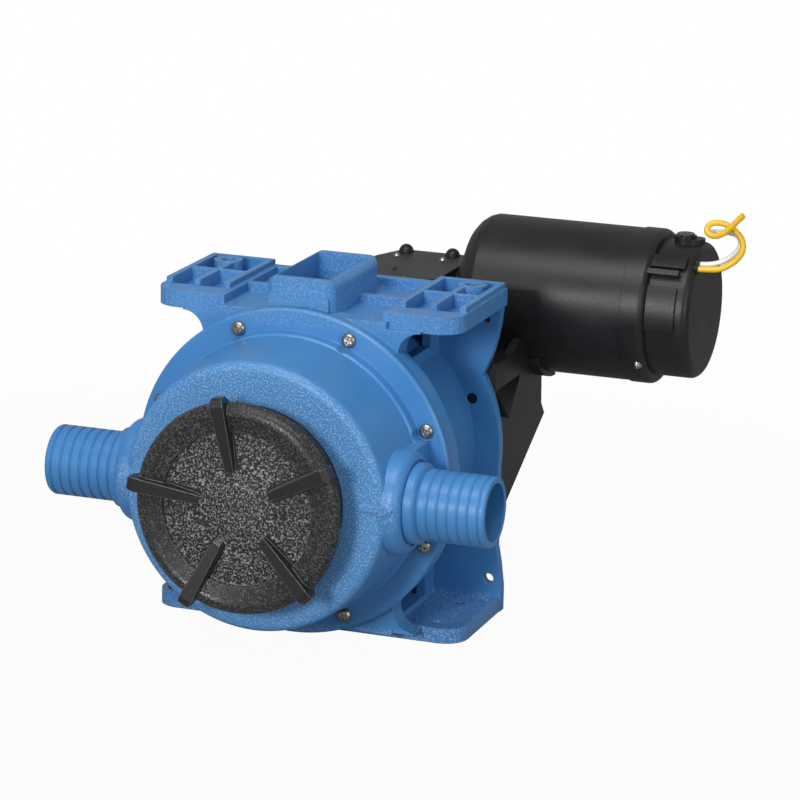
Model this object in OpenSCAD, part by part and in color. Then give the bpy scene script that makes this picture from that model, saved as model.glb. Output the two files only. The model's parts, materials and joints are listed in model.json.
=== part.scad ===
// Electric diaphragm pump with a worm-gear motor. X runs to the outlet, Y to the back and Z up.
// Shapes are drawn about the pump axis, and seat() moves them onto the middle of the foot's underside.

/* [Front cover] */
// Radius of the cover flange
flange_r = 90; // [88.5:0.5:92]
// Thickness of the cover flange
flange_t = 4.6; // [4:0.2:6]
// Distance of the joint face behind the port axis
joint_y = 31.6; // [31:0.2:34]
// Radius of the drum at its shoulder
drum_r = 78; // [77:0.2:78.6]
// Height of the drum's shoulder above the flange
shoulder_h = 7; // [5:0.5:9]
// Radius of the front collar
collar_r = 73.5; // [72.5:0.5:76]
// Distance of the collar's face ahead of the port axis
collar_y = 28; // [27.5:0.5:32]
// Radius of the rounded edge of the collar
collar_edge = 5; // [2:0.5:6]
// Thickness of the cover's front wall
front_wall = 6; // [5:0.5:8]
// Thickness of the cover's side wall
side_wall = 5; // [4:0.5:6]
// Radius of the pumping chamber
chamber_r = 72; // [70:0.5:73]
// Radius of a port boss
boss_r = 28; // [27:0.5:29]
// Reach of a port boss from the pump axis
boss_x = 81; // [80.5:0.5:84]
// Radius of the rounded end of a port boss
boss_round = 6; // [3:0.5:6.5]
// Length of the raised arrow
arrow_l = 18; // [12:0.5:20]
// Width of the raised arrow
arrow_w = 8; // [5:0.5:10]
// Height of the raised arrow
arrow_h = 0.8; // [0.4:0.2:1.2]

/* [Access cap] */
// Radius of the cap's rim
cap_r = 57; // [55:0.2:58]
// Distance of the cap's front ahead of the port axis
cap_y = 53; // [52:0.2:56]
// Radius of the rim's rounded outside
rim_round = 6; // [4:0.5:7]
// Radius of the step inside the rim
bowl_r = 42; // [38:0.5:43]
// Depth of the cap's floor below the rim's front
bowl_d = 5.2; // [4:0.2:6]
// Height of the step inside the rim
step_h = 2.7; // [2:0.1:3]
// Radius of the hub
hub_r = 13.5; // [11:0.5:16]
// Rise of the hub above the floor at the step
hub_rise = 2.8; // [1.5:0.1:3.5]
// Radius of the neck behind the rim
neck_cap_r = 50.8; // [50:0.2:51]
// Radius of the screw skirt
skirt_r = 46; // [44:0.1:47]
// Length of the screw skirt inside the opening
skirt_l = 11; // [10.5:0.5:13]
// Thickness of the cap's walls
cap_wall = 4; // [3:0.5:4.5]
// Number of wings
wing_count = 5; // [3:1:6]
// Radius that the wings reach
wing_r = 60.5; // [59:0.5:63]
// Width of a wing near its outer end
wing_w = 7.5; // [6:0.5:9]
// Height of a wing above the rim
wing_h = 4.5; // [3:0.5:6]
// Thickness of the cap gasket
gasket_t = 2.4; // [2:0.2:3]

/* [Hose tails and valves] */
// Radius of a hose tail, for 38 mm hose
tail_r = 19; // [18.5:0.1:20]
// Distance of a hose tail's end from the pump axis
tail_x = 124.5; // [124.5:0.5:140]
// Radius of a hose tail's bore
tail_bore = 15.5; // [14.5:0.1:15.8]
// Radius of a hose tail's shoulder
shoulder_r = 21.6; // [21:0.2:22.4]
// Length of a hose tail's shoulder
shoulder_l = 6.5; // [5:0.5:8]
// Number of grooves on a hose tail
groove_count = 6; // [3:1:6]
// Spacing of the grooves
groove_gap = 5.6; // [5:0.1:5.6]
// Depth of the grooves
groove_d = 0.9; // [0.5:0.1:1.2]
// Radius of a hose tail's spigot
spigot_r = 17.9; // [17.7:0.1:18.5]
// Length of a hose tail's spigot inside the boss
spigot_l = 11; // [9:0.5:11]
// Radius of the valve opening
orifice_r = 11; // [9:0.5:11.2]
// Radius of a valve flap
flap_r = 12.5; // [12.4:0.1:13]
// Thickness of a valve flap
flap_t = 2; // [1.6:0.1:2]

/* [Diaphragm and rods] */
// Thickness of the diaphragm
rubber_t = 1.6; // [1.2:0.1:2.4]
// Radius of the clamp plates
plate_r = 44; // [40:0.5:45]
// Thickness of a clamp plate
plate_t = 4; // [3:0.5:5]
// Radius of the push rod
push_r = 8; // [7:0.5:8.5]
// Throw of the crank, half the stroke
throw = 10; // [8:0.5:10]
// Distance from the wrist pin to the crank pin
rod_l = 30; // [29:0.5:33]
// Radius of the wrist and crank pins
pin_r = 4; // [3:0.5:4.5]
// Thickness of the connecting rod
rod_t = 8; // [6:0.5:8]

/* [Rear body] */
// Height of the pump axis above the foot's underside
axis_h = 93; // [92.5:0.5:98]
// Radius of the rear body's joint ring
ring_r = 89.5; // [88.5:0.5:91]
// Thickness of the joint ring
ring_t = 11.8; // [11:0.2:13]
// Radius of the rear body's drum
rear_r = 72.5; // [71.5:0.5:74]
// Distance of the rear face behind the port axis
rear_y = 121.5; // [121:0.5:124]
// Thickness of the rear plate
rear_t = 6; // [5:0.5:7]
// Radius of the rear plate
rear_plate_r = 87.5; // [86:0.5:88]
// Half width across the ears
ear_x = 86.5; // [85:0.5:87]
// Height of the ears' ribs above the pump axis
ear_z = 93.2; // [92.5:0.1:94.5]
// Radius of the curved sides above the waist
side_arc_r = 107.5; // [104:0.5:112]
// Half width of the plate's straight lower sides
side_x = 87; // [86:0.5:88]
// Half width of the foot
foot_x = 90; // [89:0.5:93]
// Height of the foot's edge
foot_t = 8.5; // [7:0.5:9]
// Thickness of the foot's floor
foot_floor = 5.5; // [4.5:0.5:6.5]
// Distance of the foot's front edge behind the port axis
foot_y = 49.5; // [48.5:0.5:51]
// Radius of the foot's front corners
foot_corner = 13; // [8:0.5:16]
// Radius of the foot's bolt holes
foot_hole_r = 3.3; // [2.5:0.1:4]
// Half spacing of the foot's bolt holes across the pump
foot_hole_x = 70; // [68:0.5:72]
// Spacing of the foot's bolt holes along the pump
foot_hole_gap = 37; // [34:0.5:37]
// Distance of the middle of the foot's bolt holes behind the port axis
foot_mid = 87; // [86:0.5:88]

/* [Ears and lever socket] */
// Thickness of an ear's slab
slab_t = 9.5; // [8:0.5:10.5]
// Height of the ribs above the slab
rib_h = 2.9; // [2:0.1:4]
// Thickness of the ribs
rib_t = 3.5; // [2.5:0.1:4]
// Distance of the ears' inner ribs from the middle
ear_in = 49; // [48:0.5:50]
// Radius of the boss in an ear
ear_boss_r = 8; // [7:0.5:9]
// Height of that boss above the ribs
boss_rise = 0.4; // [0.1:0.1:0.8]
// Radius of the hole in an ear
ear_hole_r = 4; // [3:0.1:5]
// Radius of the slab's front corner
slab_corner = 14; // [10:0.5:16]
// Half width inside the lever socket
socket_x = 15; // [13:0.5:16]
// Length inside the lever socket
socket_l = 61.5; // [56:0.5:62]
// Wall of the lever socket
socket_wall = 4.5; // [3.5:0.1:5]
// Height of the lever socket's rim above the pump axis
socket_z = 105; // [100:0.5:112]
// Radius of the lever socket's outer edges
socket_round = 6; // [3:0.5:7]

/* [Gearbox] */
// Distance of the crank axis behind the port axis
crank_y = 181; // [181:0.5:185]
// Number of teeth on the worm wheel
wheel_teeth = 32; // [32:1:32]
// Module of the worm gear
gear_module = 1.25; // [1.25:0.01:1.25]
// Pitch radius of the worm
worm_r = 7; // [6.8:0.1:7.2]
// Length of the worm's thread
worm_l = 15; // [14:0.5:16]
// Face width of the worm wheel
wheel_w = 8; // [6:0.5:9]
// Height of the gearbox's underside above the pump axis
gear_z0 = 50; // [49:0.5:51]
// Height of the joint between the gearbox and its cover
gear_z1 = 75; // [74.5:0.5:75.5]
// Height of the cover's top above the pump axis
gear_z2 = 80; // [80:0.5:82]
// Wall of the gearbox
gear_wall = 4; // [3:0.5:5]
// Radius of the output shaft
shaft_r = 6; // [5:0.5:6.5]
// Radius of the crank disc
disc_r = 22; // [20:0.5:23]
// Thickness of the crank disc
disc_t = 8; // [6:0.5:10]
// Height of the crank disc's underside above the pump axis
disc_z = 12; // [11.5:0.5:14]

/* [Motor] */
// Height of the motor axis above the pump axis
motor_z = 67.7; // [67.5:0.1:68]
// Radius of the motor can
can_r = 43.2; // [42:0.1:44]
// Wall of the motor can
can_wall = 2.4; // [1.6:0.1:3]
// Place of the can's left end along the motor axis
can_x0 = 51; // [50:0.5:52]
// Length of the motor can
can_l = 87.5; // [86:0.5:92]
// Radius of the worm neck
neck_r = 12.3; // [12:0.1:13]
// Length of the end bell's wide band
band_l = 13.5; // [11:0.5:15]
// Radius of the end bell's narrow part
bell_r = 38.5; // [37:0.5:39.5]
// Length of the end bell's narrow part
bell_l = 24; // [23:0.5:27]
// Radius of the end bell's rounded edge
bell_round = 5; // [3:0.5:6]
// Radius of the armature
armature_r = 26; // [24:0.5:26.5]
// Number of slots in the armature
slot_count = 12; // [8:1:14]
// Radius of the motor shaft
axle_r = 4; // [3.5:0.1:4.4]
// Radius of the commutator
comm_r = 13; // [11:0.5:14]

/* [Bracket] */
// Thickness of the bracket's plates
bracket_t = 5; // [4:0.5:5.5]
// Half width of the bracket's back plate
bracket_x = 62; // [61:0.5:63]
// Place of the shelf's left side
shelf_x0 = -46; // [-46:0.5:-43]
// Place of the shelf's right side
shelf_x1 = 36; // [35:0.5:44]
// Thickness of the support arm
arm_t = 4.5; // [3.5:0.5:5]
// Place of the support arm along the motor axis
arm_x = 80; // [79:0.5:82]

/* [Fasteners and leads] */
// Pitch radius of the cover screws
screw_pcd_r = 82.5; // [82.5:0.1:83]
// Number of cover screws
screw_count = 8; // [6:1:8]
// Radius of a cover screw's head
screw_head_r = 4.2; // [3.6:0.1:4.3]
// Radius of a cover screw's shank
screw_r = 2.2; // [1.8:0.1:2.4]
// Radius of a bracket bolt
bolt_r = 3; // [2.5:0.1:3.4]
// Radius of the yellow lead
yellow_r = 1.7; // [1.5:0.1:1.8]
// Radius of the white lead
white_r = 1.5; // [1.3:0.1:1.6]

/* [Hidden] */
$fn = 72;
// Extra length of a cut through a face
over = 1;
// Clearance between a fixed piece and its seat
fit = 0.1;
// Radial clearance of a shaft in its bush
running = 0.05;
// Gap between pieces that pass each other
pass = 0.3;
// Small chamfer on moulded edges
edge = 1.2;
// Wall of bushes
bush_wall = 2.5;

// Places along the pump axis, measured from the port axis to the back
face_y = joint_y - flange_t;
shoulder_y = face_y - shoulder_h;
front_y = -collar_y;
chamber_y = front_y + front_wall;
ring_y = joint_y + rubber_t;
plate_y = rear_y - rear_t;
slab_z = ear_z - rib_h;
slab_under = slab_z - slab_t;
dry_r = rear_r - 2 * rib_t;
worm_y = crank_y + gear_module * wheel_teeth / 2 + worm_r;

function arc(c, r, a0, a1, n = 6) =
    [for (i = [0:n]) let (a = a0 + (a1 - a0) * i / n) c + r * [cos(a), sin(a)]];

module seat() translate([0, -foot_mid, axis_h]) children();
module revolve_y() rotate([-90, 0, 0]) rotate_extrude() children();
module revolve_x() rotate([0, 90, 0]) rotate_extrude() children();
module plate_between(y0, y1) translate([0, y1, 0]) rotate([90, 0, 0]) linear_extrude(y1 - y0) children();
module rod_y(r, y0, y1) translate([0, y0, 0]) rotate([-90, 0, 0]) cylinder(r = r, h = y1 - y0);
module rod_x(r, x0, x1) translate([x0, 0, 0]) rotate([0, 90, 0]) cylinder(r = r, h = x1 - x0);
module rod_z(r, z0, z1) translate([0, 0, z0]) cylinder(r = r, h = z1 - z0);
module block(low, high) translate(low) cube(high - low);
module both_sides() { children(); mirror([1, 0, 0]) children(); }
module ring_of(count, r, first = 0)
    for (i = [0:count - 1]) rotate([0, -first - 360 * i / count, 0]) translate([r, 0, 0]) children();
module at_screws() ring_of(screw_count, screw_pcd_r, 180 / screw_count) children();
module rounded(size, r)
    hull() for (x = [r, size[0] - r], y = [r, size[1] - r]) translate([x, y]) circle(r, $fn = 32);

blue = [0.25, 0.51, 0.74];
black = [0.16, 0.16, 0.15];
rubber = [0.1, 0.1, 0.1];
steel = [0.75, 0.75, 0.73];
brass = [0.8, 0.65, 0.3];
copper = [0.72, 0.42, 0.25];

// Front cover
boss_root = chamber_r - front_wall;
housing_x = boss_x - spigot_l - 2 * front_wall;
// Wall of the boss around a spigot
port_wall = 1.9;
housing_r = spigot_r + port_wall;
groove_r = shoulder_r + edge;
opening_r = skirt_r + 2 * fit;
sleeve_r = opening_r + side_wall;
sleeve_y = front_y + skirt_l + edge;
block_z = boss_r - edge;
arrow_shares = [[0, 0.2], [0.6, 0.2], [0.6, 0.5], [1, 0], [0.6, -0.5], [0.6, -0.2], [0, -0.2]];
arrow_x = boss_x - boss_round / 2 - arrow_l;
valve_x = boss_x - spigot_l;
ring_w = flap_t + 2 * pass;

module cover_outside()
    revolve_y() polygon(concat(
        [[0, front_y]],
        arc([collar_r - collar_edge, front_y + collar_edge], collar_edge, -90, -5),
        [[drum_r - edge, shoulder_y - edge], [drum_r, shoulder_y], [drum_r, face_y], [flange_r - edge, face_y],
         [flange_r, face_y + edge], [flange_r, joint_y], [0, joint_y]]));
module cover_chamber()
    revolve_y() polygon([
        [0, chamber_y], [collar_r - side_wall, chamber_y], [chamber_r, shoulder_y],
        [chamber_r, joint_y + over], [0, joint_y + over]]);
module port_boss() {
    revolve_x() polygon(concat(
        [[0, boss_root]], [[boss_r, boss_root]],
        arc([boss_r - boss_round, boss_x - boss_round], boss_round, 0, 90), [[0, boss_x]]));
    block([boss_root, 0, -block_z], [boss_x - boss_round / 2, joint_y - edge, block_z]);
}
module port_cuts(seat_side) {
    rod_x(spigot_r + fit, valve_x - ring_w, boss_x + over);
    rod_x(groove_r, boss_x - edge, boss_x + over);
    rod_x(seat_side, housing_x - over, boss_x);
}
module front_cover() color(blue) seat() difference() {
    union() {
        difference() {
            union() {
                cover_outside();
                both_sides() port_boss();
            }
            cover_chamber();
            at_screws() rod_y(screw_head_r + edge, shoulder_y - shoulder_h, face_y + fit);
        }
        rod_y(sleeve_r, front_y + edge, sleeve_y);
        both_sides() rod_x(housing_r, housing_x, valve_x + edge);
        translate([arrow_x, 0, 2 * edge]) plate_between(front_y - arrow_h, edge - boss_r)
            polygon([for (p = arrow_shares) [p[0] * arrow_l, p[1] * arrow_w]]);
    }
    rod_y(opening_r, front_y - over, sleeve_y + over);
    port_cuts(orifice_r);
    mirror([1, 0, 0]) port_cuts(tail_bore);
    at_screws() rod_y(screw_r + fit, -joint_y, joint_y + over);
}

// Cover fasteners
screw_head_h = 0.6 * screw_head_r;
insert_r = 1.6 * screw_r;
insert_l = ring_t - edge;
slot_share = 0.12;
module cross_slot(r, depth) for (a = [0, 90]) rotate([0, a, 0])
    block([-r * 0.6, -depth, -r * slot_share], [r * 0.6, depth, r * slot_share]);
module cover_screws() color(steel) seat() at_screws() difference() {
    union() {
        translate([0, face_y, 0]) rotate([90, 0, 0]) rotate_extrude()
            polygon(concat([[0, 0], [screw_head_r, 0]],
                arc([screw_head_r - screw_head_h, 0], screw_head_h, 20, 90, 4), [[0, screw_head_h]]));
        rod_y(screw_r, face_y - edge / 2, ring_y + insert_l);
    }
    translate([0, face_y - screw_head_h, 0]) cross_slot(screw_head_r, screw_head_h / 2);
}
module screw_inserts() color(brass) seat() at_screws() difference() {
    rod_y(insert_r, ring_y + edge, ring_y + insert_l);
    rod_y(screw_r + running, ring_y, ring_y + ring_t);
}

// Diaphragm, with one rolled fold between the clamp plates and the rim
fold_in = plate_r + edge;
fold_out = dry_r - edge;
fold_r = (fold_out - fold_in) / 2;
module diaphragm() color(rubber) seat() difference() {
    revolve_y() difference() {
        union() {
            translate([fold_out - rubber_t, joint_y]) square([flange_r - edge / 2 - fold_out + rubber_t, rubber_t]);
            translate([0, joint_y]) square([fold_in + rubber_t, rubber_t]);
            intersection() {
                translate([fold_in + fold_r, joint_y]) circle(fold_r);
                translate([fold_in, joint_y]) square([2 * fold_r, fold_r]);
            }
        }
        intersection() {
            translate([fold_in + fold_r, joint_y - over]) circle(fold_r - rubber_t);
            translate([fold_in, joint_y - 2 * over]) square([2 * fold_r, fold_r + 2 * over]);
        }
    }
    rod_y(stud_r + fit, joint_y - over, ring_y + over);
    at_screws() rod_y(screw_r + fit, joint_y - over, ring_y + over);
}

// Clamp plates, push rod and its bush
stud_r = 0.6 * push_r;
fork_z = rod_t / 2 + plate_t + edge;
wrist_y = crank_y - throw - rod_l;
eye_r = 2 * pin_r;
fork_y0 = wrist_y - eye_r - plate_t;
fork_x = eye_r + edge;
bush_y0 = plate_y - bush_wall * plate_t;
bush_r = push_r + bush_wall;
nut_h = plate_t;
nut_r = 1.9 * stud_r;
module clamp_disc(y)
    revolve_y() polygon([[stud_r + fit, y], [plate_r - edge, y], [plate_r, y + edge], [plate_r, y + plate_t - edge],
        [plate_r - edge, y + plate_t], [stud_r + fit, y + plate_t]]);
module front_clamp_plate() color(steel) seat() clamp_disc(joint_y - plate_t);
module rear_clamp_plate() color(steel) seat() clamp_disc(ring_y);
module clamp_nut() color(steel) seat() difference() {
    translate([0, joint_y - plate_t, 0]) rotate([90, 0, 0]) cylinder(r = nut_r, h = nut_h, $fn = 6);
    rod_y(stud_r + running, joint_y - plate_t - nut_h - over, joint_y);
}
module push_rod() color(steel) seat() difference() {
    union() {
        rod_y(stud_r, joint_y - plate_t - nut_h - edge, ring_y + plate_t);
        rod_y(push_r, ring_y + plate_t, fork_y0 + edge);
        block([-fork_x, fork_y0, -fork_z], [fork_x, wrist_y, fork_z]);
        translate([0, wrist_y, 0]) rod_z(fork_x, -fork_z, fork_z);
    }
    block([-fork_x - over, wrist_y - eye_r - edge, -rod_t / 2 - fit],
        [fork_x + over, wrist_y + 2 * fork_x, rod_t / 2 + fit]);
    translate([0, wrist_y, 0]) rod_z(pin_r + running, -fork_z - over, fork_z + over);
}
module rod_bush() color(brass) seat() difference() {
    union() {
        rod_y(bush_r, bush_y0, rear_y);
        rod_y(bush_r + bush_wall, bush_y0, plate_y);
    }
    rod_y(push_r + running, bush_y0 - over, rear_y + over);
}
module wrist_pin() color(steel) seat() translate([0, wrist_y, 0]) {
    rod_z(pin_r, -fork_z - edge, fork_z + edge);
    rod_z(pin_r + edge, fork_z + fit, fork_z + edge + fit);
}
module clevis_clips() color(steel) seat() translate([0, wrist_y, -fork_z - edge]) difference() {
    rod_z(pin_r + edge, 0, edge - fit);
    rod_z(pin_r + fit / 2, -over, edge + over);
}
module connecting_rod() color(steel) seat() difference() {
    union() {
        for (y = [wrist_y, wrist_y + rod_l]) translate([0, y, 0]) rod_z(eye_r, -rod_t / 2, rod_t / 2);
        block([-pin_r, wrist_y, -rod_t / 2], [pin_r, wrist_y + rod_l, rod_t / 2]);
    }
    for (y = [wrist_y, wrist_y + rod_l]) translate([0, y, 0]) rod_z(pin_r + running, -rod_t, rod_t);
    for (s = [-1, 1])
        block([-pin_r / 2, wrist_y + eye_r + edge, s * rod_t / 2 - edge],
            [pin_r / 2, wrist_y + rod_l - eye_r - edge, s * rod_t / 2 + edge]);
}
module crank_pin() color(steel) seat() translate([0, crank_y - throw, 0]) {
    rod_z(pin_r, -rod_t / 2 - edge, disc_z - pass);
    rod_z(pin_r + edge, -rod_t / 2 - 2 * edge, -rod_t / 2 - fit);
    rod_z(pin_r + edge, rod_t / 2 + fit, disc_z - pass);
}

// Access cap and its gasket
cap_front = -cap_y;
cap_back = front_y - gasket_t;
rim_y = cap_front + rim_round;
skirt_end = front_y + skirt_l;
floor_y = cap_front + bowl_d;
hub_y = floor_y - hub_rise;
neck_y = rim_y + 3 * edge;
wing_first = 99;
wing_side_shares = [[0.32, -0.1], [0.32, 0.38], [0.36, 0.5], [0.925, 1],
    [0.98, 0.93], [1, 0.75], [1, 0.35], [0.95, 0]];
wing_plan_shares = [[0.3, 0.12], [0.33, 0.26], [0.4, 0.34], [0.9, 0.5], [0.97, 0.46], [1.01, 0.34]];
module wing() {
    rise = rim_y - cap_front + wing_h;
    side = [for (p = wing_side_shares) [p[0] * wing_r, rim_y - p[1] * rise]];
    plan = [for (p = wing_plan_shares) [p[0] * wing_r, p[1] * wing_w]];
    intersection() {
        translate([0, 0, -wing_w]) linear_extrude(2 * wing_w) polygon(side);
        rotate([-90, 0, 0]) translate([0, 0, cap_front - 2 * rise]) linear_extrude(4 * rise)
            polygon(concat(plan, [for (i = [len(plan) - 1:-1:0]) [plan[i][0], -plan[i][1]]]));
    }
}
module access_cap() color(black) seat() difference() {
    union() {
        revolve_y() polygon(concat(
            [[0, hub_y], [hub_r - edge / 2, hub_y], [hub_r, hub_y + edge / 2], [hub_r + edge, hub_y + edge],
             [bowl_r - edge / 2, floor_y], [bowl_r, floor_y - step_h], [(bowl_r + cap_r) / 2, cap_front + edge / 2]],
            arc([cap_r - rim_round, rim_y], rim_round, -90, 0),
            [[cap_r - edge / 2, rim_y + edge], [neck_cap_r + edge, neck_y - edge], [neck_cap_r, neck_y],
             [neck_cap_r, cap_back], [skirt_r, cap_back], [skirt_r, skirt_end - edge], [skirt_r - edge, skirt_end],
             [skirt_r - cap_wall, skirt_end], [skirt_r - cap_wall, floor_y + 2 * cap_wall],
             [bowl_r - 2 * cap_wall, floor_y + cap_wall], [0, hub_y + cap_wall]]));
        ring_of(wing_count, 0, wing_first) wing();
    }
    rod_y(hub_r / 5, hub_y - over, hub_y + edge);
}
module cap_gasket() color(rubber) seat() difference() {
    rod_y(neck_cap_r, cap_back, front_y);
    rod_y(skirt_r + 2 * fit, cap_back - over, front_y + over);
}

// Hose tails, their seals and the flap valves
shoulder_x = boss_x - edge + fit;
groove_x = shoulder_x + shoulder_l + edge;
seal_r = edge;
function grooves(x, n) = n == 0 ? [] : concat(
    [[tail_r - groove_d, x], [tail_r, x + edge / 2], [tail_r, x + groove_gap - edge]],
    grooves(x + groove_gap, n - 1));
module hose_tail(end_bore) difference() {
    revolve_x() polygon(concat(
        [[end_bore, valve_x], [spigot_r, valve_x], [spigot_r, shoulder_x], [shoulder_r, shoulder_x],
         [shoulder_r, shoulder_x + shoulder_l - edge], [shoulder_r - edge, shoulder_x + shoulder_l]],
        [[tail_r, shoulder_x + shoulder_l + edge / 2]],
        grooves(groove_x, groove_count),
        [[tail_r - groove_d, groove_x + groove_count * groove_gap],
         [tail_r, groove_x + groove_count * groove_gap + edge / 2], [tail_r, tail_x - edge],
         [tail_r - edge / 2, tail_x], [tail_bore, tail_x], [tail_bore, valve_x + 2 * edge], [end_bore, valve_x + edge]]));
    rotate([0, 90, 0]) rotate_extrude() translate([spigot_r, valve_x + spigot_l / 2]) circle(seal_r + fit);
}
module inlet_tail() color(blue) seat() mirror([1, 0, 0]) hose_tail(orifice_r);
module outlet_tail() color(blue) seat() hose_tail(tail_bore);
module tail_seals() color(rubber) seat() both_sides()
    rotate([0, 90, 0]) rotate_extrude() translate([spigot_r - seal_r / 2, valve_x + spigot_l / 2]) circle(seal_r / 2);
module valve_ring(x) difference() {
    rod_x(spigot_r, x, x + ring_w);
    rod_x(flap_r + 4 * pass, x - over, x + ring_w + over);
}
module valve_flap(x) intersection() {
    rod_x(flap_r, x + fit, x + fit + flap_t);
    block([x, -flap_r, -flap_r], [x + ring_w, flap_r, (flap_r + orifice_r) / 2]);
}
module inlet_valve_ring() color(rubber) seat() valve_ring(-valve_x);
module inlet_valve_flap() color(rubber) seat() valve_flap(-valve_x);
module outlet_valve_ring() color(rubber) seat() valve_ring(valve_x - ring_w);
module outlet_valve_flap() color(rubber) seat() valve_flap(valve_x - ring_w);

// Rear body
side_arc_z = ear_z - 2 * rib_t;
lower_side_shares = [[1, 0], [1, -0.6], [1.02, -0.7], [1.04, -0.85], [1.04, -1]];
dry_y = ring_y + ring_t;
web_x = 56;
web_y = ring_y + rib_h;
web_round = 12;
deck_z = slab_under + slab_t / 2;
ear_boss = [0.83 * ear_x, rear_y - foot_corner];
ear_y = foot_y + 2 * rib_t;
ear_front = ear_y - foot_corner - rib_t;
socket_y = ring_y + edge + socket_wall;
socket_floor = slab_under + rib_t;
window_y = [foot_y + foot_corner, plate_y - foot_corner];
window_low = [foot_t - axis_h, -0.8 * rear_r];
window_high = [0.8 * rear_r, slab_under];
arm_hole_shares = [[0.817, 0.318], [0.817, -0.44]];
spare_hole_shares = [[0.89, 0.784], [0.96, -0.8]];
bracket_hole_shares = [[0.62, 0.44], [0.62, -0.39]];
arm_holes = [for (p = arm_hole_shares) p * ear_x];
bracket_holes = [for (p = bracket_hole_shares) p * ear_x];
module rear_outline() difference() {
    union() {
        circle(rear_plate_r);
        intersection() {
            translate([ear_x - side_arc_r, side_arc_z]) circle(side_arc_r);
            translate([side_arc_r - ear_x, side_arc_z]) circle(side_arc_r);
            translate([-ear_x, 0]) square([2 * ear_x, slab_z]);
        }
        polygon(concat([for (p = lower_side_shares) [p[0] * side_x, p[1] * axis_h]],
            [for (i = [len(lower_side_shares) - 1:-1:0])
                [-lower_side_shares[i][0] * side_x, lower_side_shares[i][1] * axis_h]]));
    }
}
module fillet_2d(x, z, up) translate([x, z]) difference() {
    translate([-over, up > 0 ? -over : -web_round]) square([web_round + over, web_round + over]);
    translate([web_round, up * web_round]) circle(web_round);
}
module web_outline() {
    translate([-web_x, -axis_h + foot_floor]) square([2 * web_x, axis_h - foot_floor + slab_under + edge]);
    both_sides() {
        fillet_2d(web_x, slab_under + edge / 4, -1);
        fillet_2d(web_x, foot_t - axis_h - edge / 4, 1);
    }
}
module foot_plan(inset) polygon(concat(
    [[-foot_x + inset, rear_y - inset], [-foot_x + inset, foot_y + foot_corner]],
    arc([-foot_x + foot_corner, foot_y + foot_corner], foot_corner - inset, 180, 270),
    arc([foot_x - foot_corner, foot_y + foot_corner], foot_corner - inset, 270, 360),
    [[foot_x - inset, rear_y - inset]]));
module ear_slab() {
    translate([0, 0, slab_under]) linear_extrude(slab_t) polygon(concat(
        [[ear_in - rib_t, rear_y], [ear_in - rib_t, ear_front]],
        arc([ear_x + edge - slab_corner, ear_front + slab_corner], slab_corner, 270, 360),
        [[ear_x + edge, rear_y]]));
    translate([0, 0, slab_under]) linear_extrude(ear_z - slab_under)
        polygon([[ear_in, rear_y], [ear_in, ear_y], [ear_x, ear_y], [ear_x, rear_y]]);
}
module ear_pocket() block([ear_in + rib_t, ear_y - over, deck_z], [ear_x - rib_t, rear_y - rib_t, ear_z + over]);
module ear_ribs() {
    block([ear_in, foot_mid - rib_t, deck_z - over], [ear_x - rib_t, foot_mid, ear_z]);
    block([ear_in + rib_t * 5, ear_y, deck_z - over], [ear_in + rib_t * 6, ear_boss[1], ear_z]);
    translate([ear_boss[0], ear_boss[1], 0]) rod_z(ear_boss_r, deck_z - over, ear_z + boss_rise);
}
module socket_outside() {
    half = socket_x + socket_wall;
    long = socket_l + 2 * socket_wall;
    translate([-half, socket_y - socket_wall, 0]) intersection() {
        translate([0, 0, slab_under]) linear_extrude(socket_z - slab_under) rounded([2 * half, long], socket_round);
        translate([0, long, slab_under - socket_round]) rotate([90, 0, 0]) linear_extrude(long)
            rounded([2 * half, socket_z - slab_under + socket_round], socket_round);
    }
}
module socket_inside() block([-socket_x, socket_y, socket_floor], [socket_x, socket_y + socket_l, socket_z + over]);
module lever_socket() color(blue) seat() difference() {
    union() {
        socket_outside();
        plate_between(ring_y, socket_y) translate([-socket_x - socket_wall / 2, ring_r - socket_round])
            rounded([2 * socket_x + socket_wall, socket_z - ring_r], socket_round);
    }
    socket_inside();
    rod_y(ring_r + fit, joint_y, dry_y + fit);
}
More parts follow.
